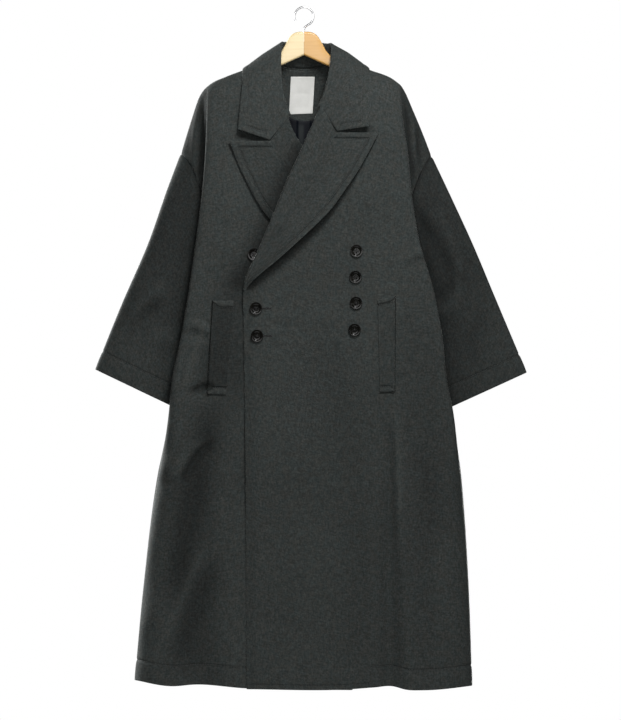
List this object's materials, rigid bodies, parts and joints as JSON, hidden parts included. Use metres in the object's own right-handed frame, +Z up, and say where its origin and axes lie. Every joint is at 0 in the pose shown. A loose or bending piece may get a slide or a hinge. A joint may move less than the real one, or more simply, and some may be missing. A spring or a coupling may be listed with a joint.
{
  "type": "chesterfield coat on a hanger",
  "caption": "Long double-breasted overcoat with peak lapels, wide sleeves and welt pockets, hanging open at neck, cuffs and hem on a wooden hanger with a wire hook.",
  "frame": {"origin": "inner top of the hanger's hook, where a rail bears", "axes": "+Z up, the coat's front faces -Y, +X to the viewer's right, the wearer's left"},
  "size_m": [0.8644, 0.1731, 1.3686],
  "materials": {
    "wool": "charcoal heathered wool melton, matt with a short nap",
    "lining": "dark satin lining",
    "label": "bare white woven label",
    "button": "dark horn-like gloss",
    "wood": "pale clear-varnished wood",
    "hook": "bright plated wire"
  },
  "bodies": {
    "root": {"back": "wool", "front_left": "wool", "front_right": "wool", "lapel_left": "wool", "lapel_right": "wool", "collar": "wool", "sleeve_left": "wool", "sleeve_right": "wool", "welt_left": "wool", "welt_right": "wool", "neck_facing": "wool", "lining": "lining", "label": "label", "button_1": "button", "button_2": "button", "button_3": "button", "button_4": "button", "button_5": "button", "button_6": "button", "button_7": "button", "button_8": "button", "hanger_arm_left": "wood", "hanger_arm_right": "wood", "hanger_hook": "hook"}
  },
  "joints": []
}
